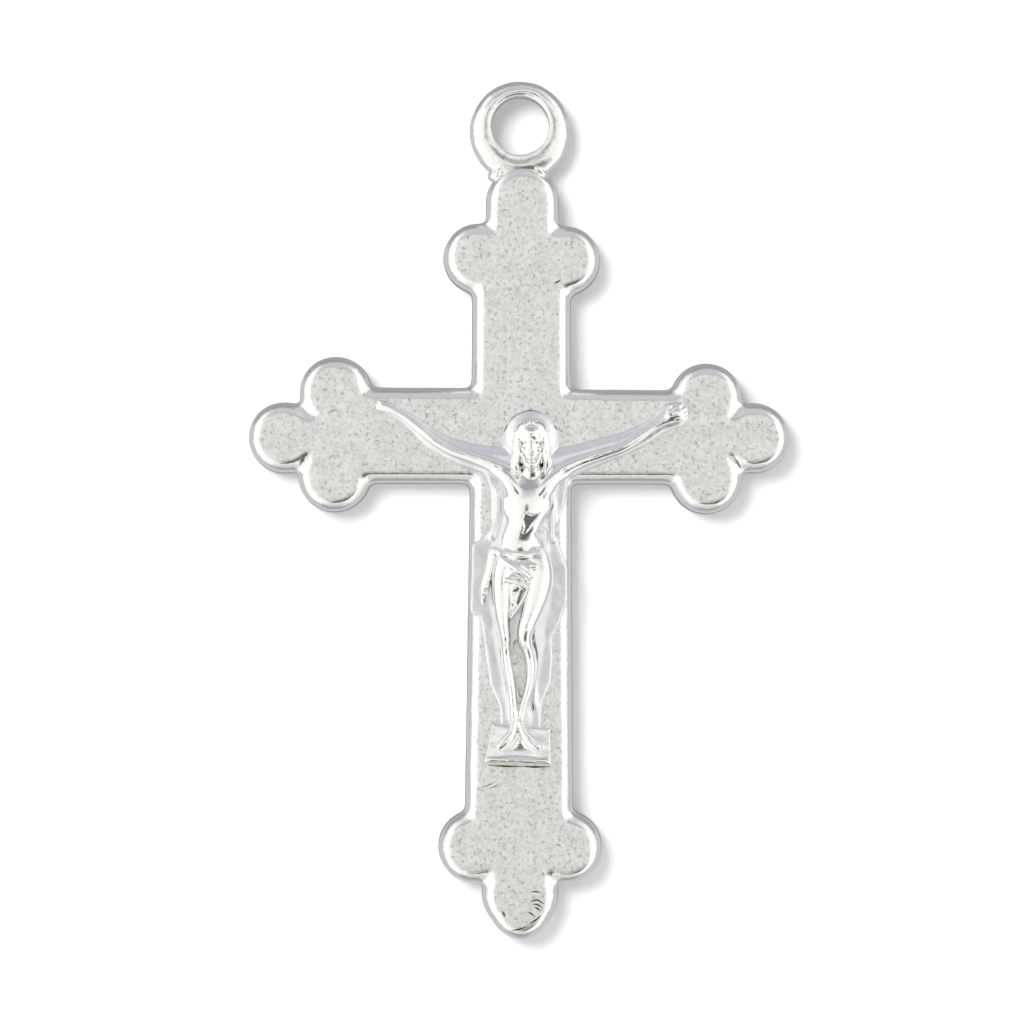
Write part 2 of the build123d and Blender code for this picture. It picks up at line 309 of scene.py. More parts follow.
# %% Scratches and wrinkles
SCRATCHES = (
    ((-2.25, -33.20), (-1.60, -33.02), (-1.05, -32.72)), ((-1.60, -33.18), (-1.25, -33.08), (-0.95, -32.86)),
    ((-1.95, -30.60), (-2.20, -31.00), (-2.22, -31.45)), ((-9.55, -14.15), (-9.35, -14.05), (-9.15, -14.12)),
    ((-9.60, -14.45), (-9.40, -14.30), (-9.05, -14.28)), ((-7.40, -15.85), (-7.20, -15.78), (-7.05, -15.80)),
    ((1.90, -15.20), (2.10, -15.35), (2.28, -15.55)), ((-3.45, -14.60), (-3.25, -14.48), (-3.10, -14.38)),
    ((1.75, -36.05), (1.95, -36.00), (2.15, -36.12)), ((-1.85, -34.85), (-1.70, -34.80), (-1.55, -34.90)),
)
WRINKLES = (
    ((0.55, -38.35), (0.80, -38.33), (1.05, -38.40)), ((0.50, -38.85), (0.85, -38.75), (1.20, -38.95)),
    ((0.62, -38.98), (0.88, -38.98), (1.12, -39.15)), ((0.70, -39.12), (0.88, -39.18), (1.05, -39.32)),
    ((0.38, -39.35), (0.55, -39.42), (0.72, -39.58)), ((-0.90, -39.30), (-0.80, -39.45), (-0.74, -39.62)),
    ((-0.60, -40.28), (-0.10, -40.24), (0.40, -40.05)), ((0.35, -40.02), (0.80, -39.75), (1.12, -39.45)),
    ((7.42, -13.30), (7.65, -13.12), (7.92, -12.98)), ((1.70, -7.90), (1.88, -7.84), (2.05, -7.74)),
    ((-1.60, -32.00), (-0.80, -32.06), (0.10, -32.08)), ((0.05, -32.06), (0.75, -32.10), (1.50, -32.08)),
)


def groove(points, half_width, depth):
    """A thin cutter along three points of the plate's face, deepest in its middle."""
    first, middle, last = [(x, z, PLATE_FACE) for x, z in points]
    return bone(((*first, half_width * 0.3, depth * 0.3), (*middle, half_width, depth),
                 (*last, half_width * 0.3, depth * 0.3)), detail=8, steps=2)


SCRATCH_HALF, SCRATCH_DEPTH = 0.028, 0.035
WRINKLE_HALF, WRINKLE_DEPTH = 0.05, 0.16
cutters = [groove(points, SCRATCH_HALF, SCRATCH_DEPTH) for points in SCRATCHES]
cutters += [groove(points, WRINKLE_HALF, WRINKLE_DEPTH) for points in WRINKLES]
print("grooves to cut:", len(cutters))
carve(plate, cutters)
finish_piece(plate, "cross_plate_cast", ["cross_plate"])
bpy.ops.object.shade_smooth_by_angle(angle=math.radians(40))

# %% [markdown]
# ## The hanger ring and its solder
# The ring is an eye, thick at its foot and thin at its top, because its hole sits a little above the middle.
# Its outside is round and its hole is straight. A torus has the same thickness all round, so the ring is a
# bone bent into a circle instead, as wide at each place as the outer circle leaves room for, and the hole is
# cut through it. The solder is a run of metal in the corner between the ring and the crown of the plate, with
# a bead at each side where it drew back as it cooled.

# %% Ring
RING_R = 2.54
RING_DROP = 0.27
BORE_R = 1.50
RING_HALF = 0.74
CREST_R = 1.74  # where the ring stands highest
BORE_WEAR = 0.04  # how much wider the smoothing leaves the hole
RING_STATIONS = 20


def ring_station(index):
    """Where the ring's crest passes at one of its stations, and how far it reaches out from there."""
    turn = math.tau * index / RING_STATIONS
    drop = RING_DROP * math.sin(turn)
    outer = -drop + math.sqrt(RING_R**2 - (RING_DROP * math.cos(turn)) ** 2)
    return CREST_R * math.cos(turn), CREST_R * math.sin(turn), 0, outer - CREST_R, RING_HALF


ring = cast([bone([ring_station(index) for index in range(RING_STATIONS + 1)], detail=24, steps=2)], 0.07, 4)
carve(ring, [disc(0, 0, BORE_R - BORE_WEAR, -2, 2, sides=96)])
ring = cast([ring], voxel=0.05, passes=4)
ripple(ring, 0.9, 0.05)
finish_piece(ring, "hanger_ring_cast", ["hanger_ring"])

# %% Solder
SOLDER = (
    ((-1.34, -2.50, 0.10, 0.30, 0.52), (-0.60, -2.72, 0.15, 0.34, 0.55), (0.0, -2.80, 0.15, 0.34, 0.55),
     (0.60, -2.70, 0.15, 0.34, 0.55), (1.14, -2.44, 0.10, 0.30, 0.52)),
    ((-1.05, -2.26, 0.46, 0.20, 0.24), (-1.18, -2.46, 0.40, 0.20, 0.28), (-1.26, -2.66, 0.32, 0.15, 0.24)),
    ((0.86, -2.14, 0.54, 0.18, 0.22), (1.04, -2.28, 0.46, 0.20, 0.26), (1.16, -2.50, 0.32, 0.15, 0.24)),
)
solder = cast([bone(stations) for stations in SOLDER], voxel=0.05, passes=12)
finish_piece(solder, "ring_solder_run", ["ring_solder"])

# %% [markdown]
# ## The backing plate
# Behind the figure lies a low step that follows its outline, a little wider all round. It is a slab with a
# listed outline, with low wide bones on it, so that it swells towards the figure like a pillow. A ball
# makes the hood behind the head. Between the shins the step is cut away again, so that the grain of the plate
# shows there. Last come thin grooves: the creases beside the legs and the right flank, where the step meets
# the figure, and a fine rim round the hood.

# %% Backing plate
STEP_FRONT = 1.17
STEP_ROOT = 0.2  # the step starts inside the plate, so that no gap shows at the plate's rounded shoulder
HOOD_X = 0.54
LEFT_EDGE = (
    (-1.75, -17.35), (-1.50, -18.20), (-1.45, -19.10), (-1.50, -20.15), (-1.85, -20.65), (-2.42, -20.95),
    (-2.50, -24.40), (-2.02, -24.65), (-1.82, -25.70), (-1.70, -26.70), (-1.50, -28.00), (-1.02, -29.10),
    (-0.98, -30.20),
)
RIGHT_EDGE = (
    (1.02, -30.20), (1.10, -28.90), (1.55, -27.90), (1.65, -26.60), (1.60, -25.65), (2.02, -24.85),
    (2.38, -23.80), (2.38, -22.10), (1.98, -21.00), (1.80, -20.20), (2.20, -19.10), (2.45, -17.60),
    (2.10, -16.90), (-0.6, -16.60),
)
ARM_STEPS = (
    ((-0.4, -17.05, 0.90, 0.95, 0.44), (-2.2, -16.62, 0.90, 0.72, 0.42), (-3.3, -16.28, 0.90, 0.64, 0.42),
     (-4.4, -15.70, 0.90, 0.54, 0.40), (-5.4, -14.86, 0.90, 0.40, 0.36), (-6.1, -14.40, 0.90, 0.34, 0.32),
     (-6.8, -14.05, 0.90, 0.34, 0.28)),
    ((1.6, -17.10, 0.90, 0.95, 0.44), (3.0, -16.66, 0.90, 0.76, 0.42), (4.1, -16.28, 0.90, 0.70, 0.42),
     (5.1, -15.96, 0.90, 0.62, 0.40), (6.2, -15.46, 0.90, 0.56, 0.38), (6.9, -14.98, 0.90, 0.56, 0.36),
     (7.75, -14.50, 0.90, 0.72, 0.36)),
)
SWELL = (
    (0.50, -17.30, 0.90, 1.80, 0.46), (0.45, -18.60, 0.90, 1.66, 0.46), (0.22, -20.10, 0.90, 1.50, 0.46),
    (0.00, -21.50, 0.90, 1.90, 0.46), (-0.02, -23.20, 0.90, 2.00, 0.46), (-0.04, -24.70, 0.90, 1.70, 0.45),
    (-0.04, -26.60, 0.90, 1.42, 0.44), (-0.02, -28.20, 0.90, 1.10, 0.42), (0.02, -29.60, 0.90, 0.85, 0.42),
)
SIDE_FOLDS = (
    ((1.20, -20.25, 1.26, 0.12, 0.18), (1.26, -21.20, 1.26, 0.13, 0.18)),
    ((1.52, -18.60, 1.20, 0.16, 0.16), (1.62, -19.60, 1.22, 0.14, 0.16), (1.62, -20.70, 1.20, 0.13, 0.16)),
    ((-1.15, -18.30, 1.18, 0.16, 0.16), (-1.12, -19.40, 1.20, 0.14, 0.16), (-1.42, -20.60, 1.18, 0.14, 0.16)),
    ((0.60, -28.00, 1.16, 0.16, 0.20), (0.74, -28.90, 1.12, 0.12, 0.18), (0.78, -29.50, 1.06, 0.08, 0.14)),
)
SHIN_GAP = ((-0.16, -25.95, 1.40, 0.18, 0.6), (-0.10, -26.8, 1.40, 0.36, 0.6), (0.02, -27.7, 1.40, 0.28, 0.6),
            (0.08, -28.5, 1.40, 0.10, 0.6))
step_parts = [slab(LEFT_EDGE + RIGHT_EDGE, STEP_ROOT, STEP_FRONT)]
step_parts.append(ball(HOOD_X, -15.72, 0.85, 1.46, 0.70, 1.54, detail=32))
step_parts += [bone(stations) for stations in (*ARM_STEPS, SWELL, *SIDE_FOLDS)]
backing = cast(step_parts, voxel=0.06, passes=9)
carve(backing, [bone(SHIN_GAP)])
backing = cast([backing], voxel=0.055, passes=5)
ripple(backing, 0.8, 0.05)
print("the backing is one skin of", len(backing.data.polygons), "faces")

# %% Creases beside the figure
CREASES = (
    ((1.24, -21.40, 1.34, 0.04, 0.12), (1.52, -21.90, 1.36, 0.06, 0.14), (1.63, -22.45, 1.36, 0.06, 0.14),
     (1.60, -23.00, 1.36, 0.06, 0.14), (1.33, -23.75, 1.36, 0.06, 0.16), (0.98, -24.42, 1.36, 0.07, 0.18),
     (0.73, -24.95, 1.36, 0.08, 0.18), (0.64, -25.45, 1.36, 0.10, 0.20), (0.72, -25.95, 1.36, 0.11, 0.20),
     (0.83, -26.35, 1.36, 0.08, 0.18), (0.88, -27.00, 1.36, 0.08, 0.18), (0.80, -27.50, 1.34, 0.07, 0.18),
     (0.72, -28.05, 1.32, 0.06, 0.16), (0.63, -28.80, 1.28, 0.05, 0.14), (0.68, -29.25, 1.22, 0.03, 0.10)),
    ((-1.42, -23.30, 1.34, 0.04, 0.12), (-1.32, -24.40, 1.34, 0.05, 0.14), (-1.12, -25.40, 1.34, 0.05, 0.14),
     (-1.01, -26.20, 1.34, 0.05, 0.14), (-0.93, -26.90, 1.34, 0.05, 0.14), (-0.73, -27.80, 1.32, 0.05, 0.14),
     (-0.47, -29.00, 1.28, 0.05, 0.12), (-0.43, -29.80, 1.22, 0.04, 0.10)),
    ((1.62, -18.30, 1.36, 0.03, 0.12), (1.64, -19.00, 1.38, 0.06, 0.14), (1.36, -19.60, 1.38, 0.06, 0.14),
     (1.02, -20.10, 1.38, 0.03, 0.12)),
)
RIM_TURNS = (0.35, 0.8, 1.2, 1.6, 2.0, 2.4, 2.85)
HOOD_RIM = [(HOOD_X + 1.38 * math.cos(turn), -15.70 + 1.44 * math.sin(turn), 1.13, 0.05, 0.13)
            for turn in RIM_TURNS]
carve(backing, [bone(chain, detail=10) for chain in (*CREASES, HOOD_RIM)])
finish_piece(backing, "corpus_backing_cast", ["corpus_backing"])

# %% [markdown]
# ## The foot rest
# A wedge, thin at its top edge and full at its bottom edge, with a lip rolled over along the bottom, where
# the mould parted. Between the feet is a small flat triangle, which mirrors one dark thing where all the
# rounded metal beside it is bright. It is made by pressing points of the skin back to one height.

# %% Foot rest
REST_TOP_FRONT = 1.34
FLAT_TIP_Z, FLAT_FOOT_Z = -30.68, -31.22
FLAT_X, FLAT_SLOPE, FLAT_HEIGHT = 0.02, 0.62, 1.46
rest = slab(((-1.36, -29.90), (-1.78, -31.85), (1.55, -31.95), (1.50, -30.15)), 0.8, 1.74)
for corner in rest.data.vertices:
    if corner.co.z > -30.5 and corner.co.y < -REST_TOP_FRONT:
        corner.co.y = -REST_TOP_FRONT
lip = bone((
    (-1.62, -31.70, 1.56, 0.16, 0.16), (0.0, -31.74, 1.60, 0.17, 0.17), (1.42, -31.80, 1.56, 0.16, 0.16)))
rest = cast([rest, lip], voxel=0.05, passes=9)
ripple(rest, 0.7, 0.03)
for corner in rest.data.vertices:
    x, y, z = corner.co
    on_front = y < -1.2
    if on_front and FLAT_FOOT_Z < z < FLAT_TIP_Z and abs(x - FLAT_X) < (FLAT_TIP_Z - z) * FLAT_SLOPE:
        corner.co.y = -FLAT_HEIGHT
finish_piece(rest, "foot_rest_cast", ["foot_rest"])

# %% [markdown]
# ## The body
# The body is built as a sculptor builds a wax: bones first, for the run of the limbs, then muscles on them,
# then everything is melted together and rubbed smooth. The trunk is rubbed smooth on its own first, because
# it is broad and takes many more passes than an arm or a shin can stand. The arms, trunk and legs are one
# skin, because on the real piece they are one pour of metal.

# %% Trunk, arms and legs
TRUNK = (
    (0.56, -17.25, 1.24, 1.02, 0.50), (0.50, -17.80, 1.30, 1.20, 0.62), (0.44, -18.40, 1.38, 1.24, 0.72),
    (0.36, -19.00, 1.46, 1.22, 0.74), (0.27, -19.55, 1.48, 1.02, 0.70), (0.10, -20.15, 1.42, 0.88, 0.64),
    (-0.04, -20.70, 1.32, 0.96, 0.62), (0.02, -21.20, 1.26, 1.16, 0.62), (0.05, -21.80, 1.28, 1.24, 0.62),
)
FLESH = (
    (0.42, -19.90, 1.66, 0.64, 0.44, 0.74, 6), (-0.48, -19.05, 1.52, 0.46, 0.40, 0.66, 0),
    (1.16, -19.00, 1.52, 0.44, 0.40, 0.66, 0), (0.04, -20.75, 1.42, 0.92, 0.44, 0.80, 0),
)
CHEST = (
    ((-1.30, -17.10, 1.46, 0.44, 0.40), (-0.70, -17.55, 1.60, 0.46, 0.42), (-0.20, -18.30, 1.68, 0.52, 0.42),
     (0.02, -18.90, 1.62, 0.44, 0.40)),
    ((2.34, -17.20, 1.46, 0.44, 0.40), (1.66, -17.62, 1.60, 0.46, 0.42), (1.14, -18.30, 1.68, 0.52, 0.42),
     (0.92, -18.90, 1.62, 0.44, 0.40)),
)
NECK = ((0.58, -16.3, 1.7, 0.46, 0.42), (0.56, -17.4, 1.55, 0.52, 0.42))
LEFT_ARM = (
    (-0.55, -17.40, 1.48, 0.50, 0.44), (-1.25, -17.04, 1.48, 0.42, 0.42), (-2.25, -16.66, 1.44, 0.35, 0.38),
    (-3.30, -16.32, 1.42, 0.31, 0.35), (-4.30, -15.76, 1.42, 0.29, 0.36), (-5.00, -15.20, 1.40, 0.26, 0.32),
    (-5.70, -14.66, 1.34, 0.20, 0.27), (-6.15, -14.38, 1.32, 0.18, 0.24), (-6.60, -14.14, 1.28, 0.28, 0.24),
)
RIGHT_ARM = (
    (1.62, -17.60, 1.48, 0.50, 0.44), (2.30, -17.16, 1.48, 0.42, 0.42), (3.05, -16.82, 1.44, 0.36, 0.38),
    (4.08, -16.48, 1.42, 0.32, 0.35), (5.10, -16.14, 1.42, 0.29, 0.36), (5.90, -15.66, 1.40, 0.26, 0.32),
    (6.55, -15.20, 1.36, 0.21, 0.27), (6.98, -14.94, 1.36, 0.20, 0.25), (7.60, -14.60, 1.36, 0.38, 0.28),
)
LEFT_LEG = (
    (-0.62, -21.70, 1.40, 0.70, 0.60), (-0.88, -22.50, 1.46, 0.56, 0.62), (-0.90, -23.30, 1.52, 0.54, 0.62),
    (-0.88, -24.20, 1.66, 0.46, 0.58), (-0.82, -25.00, 1.78, 0.34, 0.54), (-0.74, -25.65, 1.82, 0.29, 0.50),
    (-0.70, -26.30, 1.54, 0.26, 0.42), (-0.60, -27.10, 1.46, 0.27, 0.42), (-0.44, -28.00, 1.44, 0.25, 0.36),
    (-0.34, -29.00, 1.50, 0.23, 0.34), (-0.30, -29.85, 1.60, 0.21, 0.30),
)
RIGHT_LEG = (
    (0.74, -21.70, 1.44, 0.76, 0.62), (1.00, -22.40, 1.52, 0.68, 0.66), (0.94, -23.10, 1.60, 0.66, 0.66),
    (0.76, -23.80, 1.72, 0.58, 0.62), (0.52, -24.50, 1.84, 0.49, 0.56), (0.27, -25.20, 1.94, 0.42, 0.50),
    (0.24, -25.75, 1.82, 0.37, 0.48), (0.44, -26.40, 1.52, 0.29, 0.42), (0.55, -27.10, 1.42, 0.28, 0.42),
    (0.46, -28.00, 1.42, 0.23, 0.34), (0.16, -29.05, 1.48, 0.21, 0.30), (0.00, -29.85, 1.58, 0.20, 0.28),
)
trunk_parts = [bone(chain, detail=18) for chain in (TRUNK, *CHEST)] + [ball(*muscle) for muscle in FLESH]
trunk = cast(trunk_parts, voxel=0.05, passes=40)
limbs = [bone(chain, detail=18) for chain in (NECK, LEFT_ARM, RIGHT_ARM, LEFT_LEG, RIGHT_LEG)]
body = cast([trunk] + limbs, voxel=0.045, passes=14)
print("the body is one skin of", len(body.data.polygons), "faces")

# %% [markdown]
# Fingers, toes and creases would be rubbed away with the rest, so they are added afterwards and melted in
# with a light touch. The belly is worn flat in one uneven patch, again by pressing points of the skin back to
# one height: a flat on polished metal mirrors one dark thing, and shows as a dark patch.

# %% Hands and feet
HANDS = (
    ((7.45, -14.60, 1.40, 0.30, 0.26), (7.85, -14.45, 1.42, 0.36, 0.26)),
    ((7.70, -14.30, 1.44, 0.15, 0.17), (8.02, -14.02, 1.40, 0.13, 0.15)),
    ((7.90, -14.40, 1.46, 0.15, 0.17), (8.26, -14.18, 1.40, 0.13, 0.15)),
    ((7.95, -14.58, 1.46, 0.15, 0.17), (8.30, -14.42, 1.40, 0.13, 0.15)),
    ((7.85, -14.76, 1.44, 0.14, 0.16), (8.16, -14.70, 1.38, 0.12, 0.14)),
    ((7.35, -14.45, 1.40, 0.13, 0.15), (7.52, -14.05, 1.36, 0.12, 0.14)),
    ((-6.50, -14.20, 1.30, 0.24, 0.22), (-6.85, -14.05, 1.28, 0.26, 0.20)),
    ((-6.75, -13.98, 1.32, 0.11, 0.13), (-7.05, -13.82, 1.24, 0.10, 0.11)),
    ((-6.80, -14.10, 1.34, 0.11, 0.13), (-7.16, -13.98, 1.25, 0.10, 0.11)),
    ((-6.78, -14.24, 1.32, 0.11, 0.13), (-7.12, -14.16, 1.24, 0.10, 0.11)),
    ((-6.45, -14.02, 1.28, 0.10, 0.12), (-6.62, -13.80, 1.22, 0.09, 0.11)),
)
FEET = (
    ((-0.30, -29.80, 1.60, 0.21, 0.30), (-0.42, -30.40, 1.74, 0.25, 0.28), (-0.72, -30.80, 1.84, 0.27, 0.23),
     (-1.00, -31.02, 1.88, 0.23, 0.18)),
    ((0.00, -29.80, 1.60, 0.21, 0.30), (0.20, -30.40, 1.74, 0.25, 0.28), (0.52, -30.80, 1.84, 0.27, 0.23),
     (0.86, -31.04, 1.88, 0.23, 0.18)),
)
TOES = ((-1.14, -31.02), (-1.06, -31.16), (-0.95, -31.26), (1.04, -31.04), (0.97, -31.18), (0.85, -31.28))
fine_parts = [bone(chain, detail=12, steps=2) for chain in HANDS + FEET]
fine_parts += [ball(x, z, 1.88, 0.07, 0.09, detail=12) for x, z in TOES]
body = cast([body] + fine_parts, voxel=0.041, passes=3)
palm = ball(7.52, -14.50, 1.66, 0.07, 0.10, detail=12)
navel = ball(0.15, -21.05, 2.10, 0.07, 0.12, 0.05, detail=12)
carve(body, [palm, navel])
print("the body is cut, with", len(body.data.polygons), "faces")

# %% Worn patch on the belly
WORN_HEIGHT, WORN_TOP, WORN_FOOT = 1.98, -19.37, -20.40
for corner in body.data.vertices:
    x, y, z = corner.co
    top = WORN_TOP - 0.14 * (1 - abs(x - 0.62) / 0.45)
    left, right = 0.16 + 0.04 * math.sin(9 * z), 1.06 + (z - WORN_TOP) * 0.74
    if y < -WORN_HEIGHT and WORN_FOOT < z < top and left < x < right:
        corner.co.y = -WORN_HEIGHT
finish_piece(body, "corpus_body",
             ["torso", "left_arm", "right_arm", "left_leg", "right_leg", "left_foot", "right_foot"])

# %% [markdown]
# ## The cloth
# The loincloth is a thin wrap over the hips, with two rolled folds that run down from the left, a short apron
# that hangs between the thighs, and a loose end that hangs at the side. Each fold is a thin bone laid on the
# wrap, and the hollows between them are cut out.

# %% Loincloth
WRAP = (
    ((-1.16, -21.40, 1.46, 0.26, 0.34), (-0.45, -21.55, 1.66, 0.30, 0.36), (0.35, -21.58, 1.70, 0.32, 0.36),
     (1.14, -21.50, 1.50, 0.28, 0.36)),
    ((-0.88, -21.95, 1.56, 0.46, 0.50), (-0.1, -22.1, 1.62, 0.50, 0.46), (0.80, -22.1, 1.62, 0.54, 0.52)),
    ((-0.40, -22.6, 1.60, 0.36, 0.44), (0.10, -22.9, 1.62, 0.42, 0.42), (0.60, -22.9, 1.62, 0.42, 0.46)),
    ((-0.28, -23.1, 1.60, 0.42, 0.36), (-0.35, -23.9, 1.58, 0.30, 0.30), (-0.48, -24.6, 1.62, 0.12, 0.20)),
)
FOLDS = (
    ((-1.02, -21.58, 1.80, 0.12, 0.14), (-0.62, -21.90, 2.02, 0.14, 0.15), (-0.08, -22.24, 2.12, 0.14, 0.15),
     (0.42, -22.60, 2.08, 0.10, 0.12)),
    ((-0.74, -22.72, 1.98, 0.15, 0.15), (-0.10, -22.84, 2.08, 0.13, 0.15), (0.44, -23.20, 2.04, 0.10, 0.12)),
    ((-0.80, -22.80, 1.96, 0.13, 0.15), (-0.76, -23.70, 1.92, 0.11, 0.14), (-0.56, -24.58, 1.84, 0.09, 0.11)),
    ((0.38, -23.28, 1.98, 0.10, 0.12), (0.04, -23.92, 1.90, 0.10, 0.12), (-0.42, -24.62, 1.82, 0.08, 0.10)),
    ((-1.20, -21.28, 1.62, 0.10, 0.12), (-0.2, -21.40, 1.92, 0.10, 0.12), (0.95, -21.42, 1.84, 0.10, 0.12)),
    ((0.10, -22.02, 2.04, 0.09, 0.10), (0.45, -22.24, 2.08, 0.09, 0.10), (0.66, -22.60, 2.04, 0.08, 0.09)),
)
HOLLOWS = (  # the last number of each is its turn
    (-0.57, -22.40, 2.16, 0.14, 0.16, 0.08, 25), (0.12, -22.62, 2.20, 0.26, 0.20, 0.10, 32),
    (-0.22, -23.38, 2.10, 0.26, 0.22, 0.26, 10), (-0.38, -23.90, 2.04, 0.13, 0.20, 0.34, -14),
    (-0.57, -22.88, 2.06, 0.08, 0.26, 0.06, 0),
)
cloth = cast([bone(chain, detail=18) for chain in WRAP], voxel=0.045, passes=10)
cloth = cast([cloth] + [bone(chain, detail=12) for chain in FOLDS], voxel=0.036, passes=5)
carve(cloth, [ball(*hollow) for hollow in HOLLOWS])
cloth = cast([cloth], voxel=0.034, passes=4)
finish_piece(cloth, "loincloth_folds", ["loincloth"])

# %% Loose end of the cloth
TAIL = (
    ((-1.34, -21.30, 1.44, 0.24, 0.34), (-1.48, -22.10, 1.44, 0.24, 0.34), (-1.66, -22.80, 1.42, 0.21, 0.32),
     (-1.84, -23.40, 1.40, 0.22, 0.30), (-1.80, -23.90, 1.36, 0.17, 0.24)),
    ((-1.28, -21.25, 1.66, 0.10, 0.14), (-1.42, -22.10, 1.66, 0.09, 0.14), (-1.60, -22.90, 1.60, 0.08, 0.14),
     (-1.68, -23.80, 1.48, 0.07, 0.12)),
    ((-1.50, -21.40, 1.60, 0.10, 0.14), (-1.68, -22.30, 1.58, 0.09, 0.14), (-1.92, -23.15, 1.52, 0.08, 0.14),
     (-1.92, -23.80, 1.46, 0.07, 0.12)),
)
TAIL_HOLES = ((-1.74, -23.30), (-1.86, -23.55), (-1.74, -23.82))
tail = cast([bone(chain, detail=12) for chain in TAIL], voxel=0.036, passes=6)
carve(tail, [ball(x, z, 1.72, 0.07, 0.14, 0.09, detail=12) for x, z in TAIL_HOLES])
tail = cast([tail], voxel=0.032, passes=2)
finish_piece(tail, "cloth_loose_end", ["cloth_tail"])

# %% [markdown]
# ## The head
# The head hangs a little forward, in a shell of long hair that falls to the shoulders. The face is a plain,
# calm one on the proportions that every drawing manual teaches: eyes half way down the head, the nose half
# way from the brow to the chin, and the mouth a third of the way below the nose.

# %% Head and face
HEAD_X, HEAD_TOP, CHIN, HEAD_DEPTH = 0.56, -14.74, -17.00, 1.86
HEAD_TALL = HEAD_TOP - CHIN
EYES_Z = HEAD_TOP - HEAD_TALL / 2
BROW_Z = EYES_Z + HEAD_TALL * 0.09
NOSE_Z = BROW_Z - (BROW_Z - CHIN) / 2
MOUTH_Z = NOSE_Z - (NOSE_Z - CHIN) / 3
EYE_REACH = HEAD_TALL * 0.14

skull = cast([
    ball(HEAD_X, HEAD_TOP - 0.74, HEAD_DEPTH, 0.74, 0.76, 0.72, detail=32),
    ball(HEAD_X, EYES_Z - 0.35, HEAD_DEPTH + 0.06, 0.56, 0.60, 0.78, detail=32),
], voxel=0.032, passes=6)
features = [
    bone(((HEAD_X - 0.36, BROW_Z, 2.36, 0.10, 0.13), (HEAD_X, BROW_Z + 0.04, 2.46, 0.10, 0.14),
          (HEAD_X + 0.36, BROW_Z, 2.36, 0.10, 0.13))),
    bone(((HEAD_X, BROW_Z, 2.48, 0.08, 0.10), (HEAD_X, NOSE_Z + 0.08, 2.64, 0.11, 0.13)), steps=1),
    ball(HEAD_X, NOSE_Z + 0.05, 2.60, 0.16, 0.10, 0.08),
    ball(HEAD_X, MOUTH_Z + 0.035, 2.52, 0.18, 0.08, 0.045),
    ball(HEAD_X, MOUTH_Z - 0.055, 2.51, 0.15, 0.08, 0.05),
    ball(HEAD_X, CHIN + 0.16, 2.40, 0.22, 0.16, 0.16),
]
for side in (-1, 1):
    features.append(ball(HEAD_X + side * EYE_REACH, EYES_Z, 2.34, 0.15, 0.11, 0.10))
    features.append(ball(HEAD_X + side * 0.34, NOSE_Z + 0.10, 2.30, 0.19, 0.14, 0.17))
head = cast([skull] + features, voxel=0.026, passes=5)
finish_piece(head, "head_and_face", ["head"])

# %% [markdown]
# The hair is parted in the middle and falls in two heavy waved locks, and the beard joins them in front. The
# locks are thick bones, and thin bones laid along them are the strands, which keep their ridges because they
# are melted in with only a few passes. The face looks out through a window that is cut at the end.

# %% Hair and beard
STRAND = 0.060
SIDE_LOCK = (
    (0.62, -15.40, 1.94, 0.27, 0.38), (0.74, -15.90, 1.92, 0.26, 0.38), (0.72, -16.45, 1.88, 0.26, 0.38),
    (0.80, -16.95, 1.80, 0.22, 0.34), (0.72, -17.35, 1.70, 0.14, 0.28),
)
mass = [ball(HEAD_X, HEAD_TOP - 0.68, HEAD_DEPTH - 0.12, 0.94, 0.86, 0.80, detail=32)]
strands = []
for side in (-1, 1):
    mass.append(bone([(HEAD_X + side * reach, *station) for reach, *station in SIDE_LOCK], detail=18))
    for step in range(4):
        reach = 0.16 + 0.21 * step
        strands.append(bone((
            (HEAD_X + side * 0.05, HEAD_TOP - 0.12 - 0.03 * step, 2.34 - 0.05 * step, STRAND, STRAND),
            (HEAD_X + side * (0.6 * reach + 0.06), HEAD_TOP - 0.20 - 0.06 * step, 2.44 - 0.09 * step,
             STRAND, STRAND),
            (HEAD_X + side * (reach + 0.10), HEAD_TOP - 0.50 - 0.12 * step, 2.40 - 0.14 * step,
             STRAND, STRAND),
        ), detail=8, steps=2))
    for step in range(3):
        reach = 0.56 + 0.16 * step
        height = 2.30 - 0.12 * step
        strands.append(bone((
            (HEAD_X + side * reach, HEAD_TOP - 0.62, height, STRAND, STRAND),
            (HEAD_X + side * (reach + 0.12), -15.90, height, STRAND, STRAND),
            (HEAD_X + side * (reach + 0.02), -16.40, height - 0.03, STRAND, STRAND),
            (HEAD_X + side * (reach + 0.12), -16.90, height - 0.12, STRAND, STRAND),
            (HEAD_X + side * (reach - 0.02), -17.35, height - 0.28, STRAND, STRAND),
        ), detail=8, steps=2))
mass.append(bone((
    (HEAD_X - 0.42, MOUTH_Z + 0.10, 2.20, 0.13, 0.20), (HEAD_X - 0.25, CHIN + 0.08, 2.28, 0.17, 0.22),
    (HEAD_X, CHIN - 0.04, 2.32, 0.20, 0.24), (HEAD_X + 0.25, CHIN + 0.08, 2.28, 0.17, 0.22),
    (HEAD_X + 0.42, MOUTH_Z + 0.10, 2.20, 0.13, 0.20))))
mass.append(bone(((HEAD_X, CHIN, 2.28, 0.26, 0.24), (HEAD_X, CHIN - 0.22, 2.18, 0.20, 0.22),
                  (HEAD_X, CHIN - 0.36, 2.06, 0.10, 0.18))))
CURL_X, CURL_Z, CURL_HEIGHT, CURL_R = -0.12, -17.42, 1.78, 0.15
for turn in range(6):
    angles = (math.tau * turn / 7, math.tau * (turn + 1) / 7)
    strands.append(bone([
        (CURL_X + CURL_R * math.cos(angle), CURL_Z + CURL_R * math.sin(angle), CURL_HEIGHT, 0.08, 0.12)
        for angle in angles], detail=10, steps=1))
